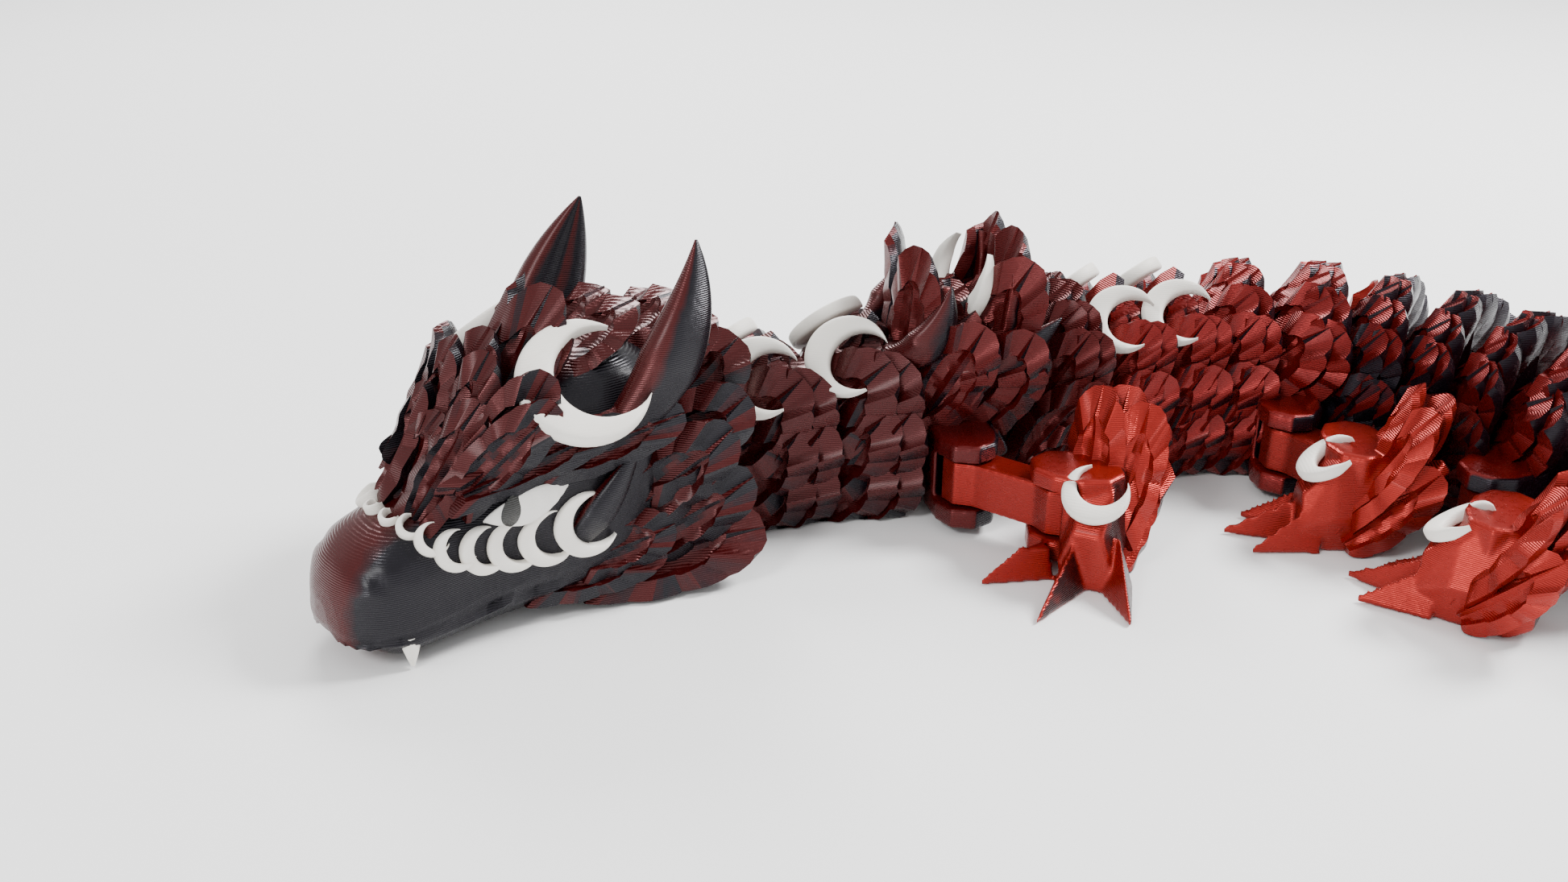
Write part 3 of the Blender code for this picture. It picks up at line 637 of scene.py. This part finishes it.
# --- Body links ---
# Each link is a printed shell with a knuckle in front and a pinned socket behind, ruffed in
# toothed leaves that lean back over the next link. The plastic turns from dark red at the neck to
# ruby along the trunk, with black where a leaf looks to the tail.
HALF = {"neck_1": 10.8, "neck_2": 11.4, "shoulder": 13.2, "middle": 12.8, "hip": 12.2, "tail_1": 10.6,
        "tail_2": 9.6, "tail_3": 8.7, "tail_4": 7.8, "tail_5": 7.0, "tail_6": 6.2, "tail_tip": 5.4,
        "trunk_5": 12.2, "trunk_6": 12.2, "trunk_7": 12.0}
HEIGHT = {"neck_1": 26.0, "neck_2": 28.0, "shoulder": 31.0, "tail_1": 26.0, "tail_2": 23.5, "tail_3": 21.0,
          "tail_4": 18.5, "tail_5": 16.5, "tail_6": 14.5, "tail_tip": 12.5}


def softened(node, name, voxel, rounds):
    """A remeshed and smoothed copy of a CAD solid, with its edges worn round."""
    copy = bpy.data.objects.new(name, frame["nodes"][node].data.copy())
    bpy.context.scene.collection.objects.link(copy)
    bpy.ops.object.select_all(action="DESELECT")
    bpy.context.view_layer.objects.active = copy
    copy.select_set(True)
    bpy.ops.object.mode_set(mode="EDIT")
    bpy.ops.mesh.select_all(action="SELECT")
    bpy.ops.mesh.remove_doubles(threshold=0.000002)
    bpy.ops.object.mode_set(mode="OBJECT")
    grid = copy.modifiers.new("grid", "REMESH")
    grid.mode = "VOXEL"
    grid.voxel_size = voxel
    bpy.ops.object.modifier_apply(modifier="grid")
    worn = copy.modifiers.new("worn", "SMOOTH")
    worn.factor = 0.5
    worn.iterations = rounds
    bpy.ops.object.modifier_apply(modifier="worn")
    bpy.ops.object.shade_smooth()
    return copy


LEG_PIN = {"shoulder": 9.5, "middle": 8.0, "hip": 8.0}


def ruff(name, length, half, high):
    """The leaves of one link, in columns from its front to its rear, from the belly to the spine."""
    leaves = []
    columns = max(2, round(length / 7.0))
    pitch = (length - 1.4) / columns
    wide = 1.28 * max(pitch, 0.42 * half)
    thick = 0.95 * wide
    for c in range(columns):
        last = c == columns - 1
        a = 0.7 + c * pitch
        b = a + (1.0 if last else 1.45) * pitch
        grow = 1.0 if last else 0.93
        rows = (
            (-0.74 * grow, 0.01, -0.98 * grow, 0.34, (-0.35, -1.0, 0.15)),
            (-0.72 * grow, 0.20, -1.02 * grow, 0.60, (-0.35, -1.0, 0.25)),
            (-0.62 * grow, 0.46, -0.88 * grow, 0.87, (-0.40, -0.85, 0.45)),
            (-0.38 * grow, 0.66, -0.58 * grow, 1.00, (-0.50, -0.60, 0.6)),
            (-0.13 * grow, 0.76, -0.20 * grow, 1.08, (-0.60, -0.25, 0.75)),
        )
        for k, (y0, z0, y1, z1, normal) in enumerate(rows):
            if name in LEG_PIN and k < 2 and abs(0.5 * (a + b) - LEG_PIN[name]) < 8.6:
                continue
            if name in LEG_PIN and k == 2 and abs(0.5 * (a + b) - LEG_PIN[name]) < 8.6:
                z0 += 0.1
            if name in MOONED and k == 3:
                continue
            if name in MOONED and k == 4:
                z1 = 0.94
            leaves.append(((a, y0 * half, z0 * high), (b, y1 * half, z1 * high), normal, wide, thick))
    return both_sides(leaves)


MOONED = ("neck_1", "neck_2", "trunk_2", "trunk_3")
for name in CHAIN[1:-1]:
    length = link_length(name)
    half = HALF.get(name, 12.6)
    high = HEIGHT.get(name, 30.0)
    scales = dress(name + "_scales", ruff(name, length, half, high))
    scales.data.transform(link_place(name))
    neck = name in ("neck_1", "neck_2")
    mat = HEAD_SILK if neck else (BODY_SILK if name in ("shoulder", "trunk_1") else RUBY_SILK)
    rearward = link_place(name).to_3x3() @ Vector((1.0, 0.0, 0.0))
    toward = rearward.normalized() + Vector((0.1, 0.0, -0.2))
    bias = {"trunk_5": 0.42, "trunk_6": 0.32}.get(name, -0.05)
    tint(scales, mat, toward, bias)
    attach(scales, name)
    core = frame["nodes"][name]
    if name in LEG_PIN:
        core = softened(name, name + "_core", 0.00045, 5)
        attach(core, name)
        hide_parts(name)
        tint(core, mat, toward, bias, faces=False)
    else:
        tint(core, mat, toward, bias)
core = frame["nodes"]["tail_tip"]
tint(core, RUBY_SILK, (1, 0, 0), 0.0)
rows = []
for k in range(4):
    a, half, high = 1.0 + 5.6 * k, 5.2 - 1.1 * k, 11.5 - 2.3 * k
    rows.append((
        (a, -0.7 * half, 0.2 * high), (a + 6.5, -0.95 * half, 0.62 * high),
        (-0.3, -1.0, 0.3), 4.8 - 0.8 * k, 4.0,
    ))
    rows.append((
        (a, 0.0, 0.8 * high), (a + 6.5, 0.0, 1.02 * high),
        (-0.5, 0.0, 1.0), 4.6 - 0.8 * k, 4.0,
    ))
scales = dress("tail_tip_scales", both_sides(rows))
scales.data.transform(link_place("tail_tip"))
tint(scales, RUBY_SILK, link_place("tail_tip").to_3x3() @ Vector((1.0, 0.0, -0.2)), -0.05)
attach(scales, "tail_tip")
for name in MOONED:
    length, half, high = link_length(name), HALF.get(name, 12.6), HEIGHT.get(name, 30.0)
    radius = 7.0 if name.startswith("neck") else 6.0
    for side, word in ((-1, "left"), (1, "right")):
        arc = moon(name + "_crescent_" + word, (0.50 * length, side * 0.68 * half, 1.01 * high),
                   (-0.38, side * 0.62, 0.70), (0.85, side * 0.35, -0.35), radius, 2.6, 0.5)
        arc.data.transform(link_place(name))
        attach(arc, name)
        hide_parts(name + "_moon_" + word)

# --- Shoulder crest ---
# The shoulder link carries the tallest fins: cupped spurs in front, toothed fans beside and
# behind, and an ivory crescent standing between them with its horns up.
fans = dress("shoulder_fans", both_sides((
    ((2.0, -5.0, 24.0), (3.5, -6.4, 40.5), (-0.85, -0.45, 0.3), 7.6, 5.5),
    ((12.5, -7.5, 24.0), (19.5, -9.6, 38.5), (-0.6, -0.8, 0.3), 8.4, 6.5),
    ((18.0, -3.4, 24.0), (20.5, -4.2, 41.5), (-0.9, -0.2, 0.3), 7.8, 6.5),
    ((14.0, -10.5, 17.0), (19.0, -13.6, 29.0), (-0.3, -1.0, 0.3), 8.0, 6.5),
    ((4.5, -10.0, 18.0), (10.5, -13.2, 30.5), (-0.35, -1.0, 0.3), 8.0, 6.5),
)))
fans.data.transform(link_place("shoulder"))
tint(fans, BODY_SILK, (0.95, 0.25, -0.2), -0.02)
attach(fans, "shoulder")
for side, word in ((-1, "left"), (1, "right")):
    spur = rod("shoulder_spur_" + word, 24, 36)
    shape(spur, horn_move(side, Vector((-1.5, 7.0, 27.0)), Vector((6.0, 11.0, 28.5)),
                          Vector((7.5, 10.5, 40.0)), 4.4, 3.0, 0.5))
    smooth(spur, 50.0)
    spur.data.transform(link_place("shoulder"))
    tint(spur, HEAD_SILK, (0.95, 0.1, 0.0), -0.05, faces=False)
    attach(spur, "shoulder")
for side, word in ((-1, "left"), (1, "right")):
    spur = rod("shoulder_spike_" + word, 20, 36)
    shape(spur, horn_move(side, Vector((13.0, 10.5, 25.0)), Vector((19.0, 13.5, 28.0)),
                          Vector((26.0, 12.5, 34.0)), 3.0, 2.2, 0.2))
    smooth(spur, 50.0)
    spur.data.transform(link_place("shoulder"))
    tint(spur, HEAD_SILK, (0.95, 0.1, 0.0), 0.1, faces=False)
    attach(spur, "shoulder")
arc = moon("shoulder_crescent", (12.6, 0.0, 37.0), (-0.9, -0.15, 0.35), (0.3, 0.0, 0.95), 8.8, 2.8, 0.6)
arc.data.transform(link_place("shoulder"))
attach(arc, "shoulder")
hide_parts("shoulder_moon")


# --- Legs ---
# Six short legs: a flat bar pinned in the body's lugs, and a foot pinned on the bar with three
# ridged claws, toothed plates behind and an ivory crescent on its instep. All are coppery red.
pivot = {}
for joint in frame["joints"]:
    if joint["name"].endswith("_elbow"):
        pivot[joint["child"]] = Vector(joint["pos_m"])
    if joint["name"].endswith("_swing"):
        pivot[joint["child"]] = Vector(joint["pos_m"])

FOLD = {"front_left": 78.0, "front_right": 84.0, "middle_left": 126.0, "middle_right": 76.0,
        "hind_left": 114.0, "hind_right": 76.0}
for leg, fold in FOLD.items():
    side = -1 if leg.endswith("left") else 1
    out = -side
    arm, foot = leg + "_arm", leg + "_foot"
    bar = softened(arm, arm + "_bar", 0.00032, 4)
    tint(bar, COPPER_SILK, (1, 0.3, 0), -0.3, faces=False)
    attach(bar, arm)
    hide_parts(arm)
    paw = softened(foot, foot + "_paw", 0.00036, 5)
    tint(paw, COPPER_SILK, (1, 0.3, 0), -0.3, faces=False)
    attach(paw, foot)
    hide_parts(foot)
    a, b = pivot[arm], pivot[foot]
    heading = math.atan2(b.y - a.y, b.x - a.x) + side * math.radians(fold)
    place = Matrix.Translation((b.x, b.y, 0.0)) @ Matrix.Rotation(heading, 4, "Z") @ Matrix.Scale(MM, 4)
    plates = []
    for root, tip, normal, wide, thick in (
        ((1.0, 4.6, 8.0), (-7.0, 3.8, 22.0), (0.85, -0.3, 0.5), 6.6, 5.5),
        ((1.0, 9.4, 7.0), (-7.0, 10.4, 20.5), (0.85, 0.3, 0.5), 6.6, 5.5),
        ((-3.0, 6.8, 8.0), (-10.5, 6.8, 21.5), (0.7, 0.0, 0.7), 7.0, 5.5),
        ((2.0, 11.0, 2.0), (-7.5, 12.6, 12.5), (0.3, 1.0, 0.3), 6.6, 5.5),
        ((-1.0, 2.6, 1.0), (-9.0, 2.0, 11.0), (0.2, -1.0, 0.3), 6.0, 5.0),
    ):
        plates.append(((root[0], out * root[1], root[2]), (tip[0], out * tip[1], tip[2]),
                       (normal[0], out * normal[1], normal[2]), wide, thick))
    fan = dress(foot + "_plates", plates)
    fan.data.transform(place)
    tint(fan, COPPER_SILK, (0.7, 0.5, -0.3), -0.2)
    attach(fan, foot)
    centre, opening = (5.2, out * 6.8, 14.7), (-1, out * 0.35, 0.4)
    arc = moon(foot + "_crescent", centre, (0.55, 0.0, 0.83), opening, 5.2, 2.0, 0.2)
    arc.data.transform(place)
    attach(arc, foot)
    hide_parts(foot + "_moon")

bpy.data.objects.remove(leaf)


# --- Studio ---
# A pale floor, three large soft lights and a white surround.
bpy.ops.object.select_all(action="DESELECT")
bpy.ops.mesh.primitive_plane_add(size=6.0, location=(0, 0, -0.0002))
floor = bpy.context.object
floor.name = "studio_floor"
paper = bpy.data.materials.new("floor_paper")
paper.use_nodes = True
paper.node_tree.nodes["Principled BSDF"].inputs["Base Color"].default_value = (0.95, 0.95, 0.95, 1)
paper.node_tree.nodes["Principled BSDF"].inputs["Roughness"].default_value = 0.8
floor.data.materials.append(paper)


def soft_light(name, place, target, size, power):
    light = bpy.data.lights.new(name, "AREA")
    light.size = size
    light.energy = power
    obj = bpy.data.objects.new(name, light)
    bpy.context.scene.collection.objects.link(obj)
    obj.location = place
    obj.rotation_euler = (Vector(target) - Vector(place)).to_track_quat("-Z", "Y").to_euler()


soft_light("key", (0.45, 0.15, 0.55), (0.0, 0.0, 0.0), 0.22, 10.0)
soft_light("fill", (-0.45, -0.5, 0.55), (0.0, 0.0, 0.0), 0.18, 3.0)
soft_light("back", (-0.25, 0.6, 0.5), (0.0, 0.0, 0.0), 0.3, 5.0)
world = bpy.data.worlds.new("surround")
world.use_nodes = True
world.node_tree.nodes["Background"].inputs["Color"].default_value = (1, 1, 1, 1)
world.node_tree.nodes["Background"].inputs["Strength"].default_value = 0.95
bpy.context.scene.world = world

camera = bpy.data.cameras.new("camera")
camera.sensor_width = 36.0
camera.lens = 35.15
camera.clip_start = 0.01
eye = bpy.data.objects.new("camera", camera)
bpy.context.scene.collection.objects.link(eye)
neck_pin = pins[frozenset(("head", "neck_1"))]
eye.location = (neck_pin.x + 0.015, neck_pin.y - 0.230, 0.121)
eye.rotation_euler = (math.radians(65.0), 0.0, 0.0)
bpy.context.scene.camera = eye
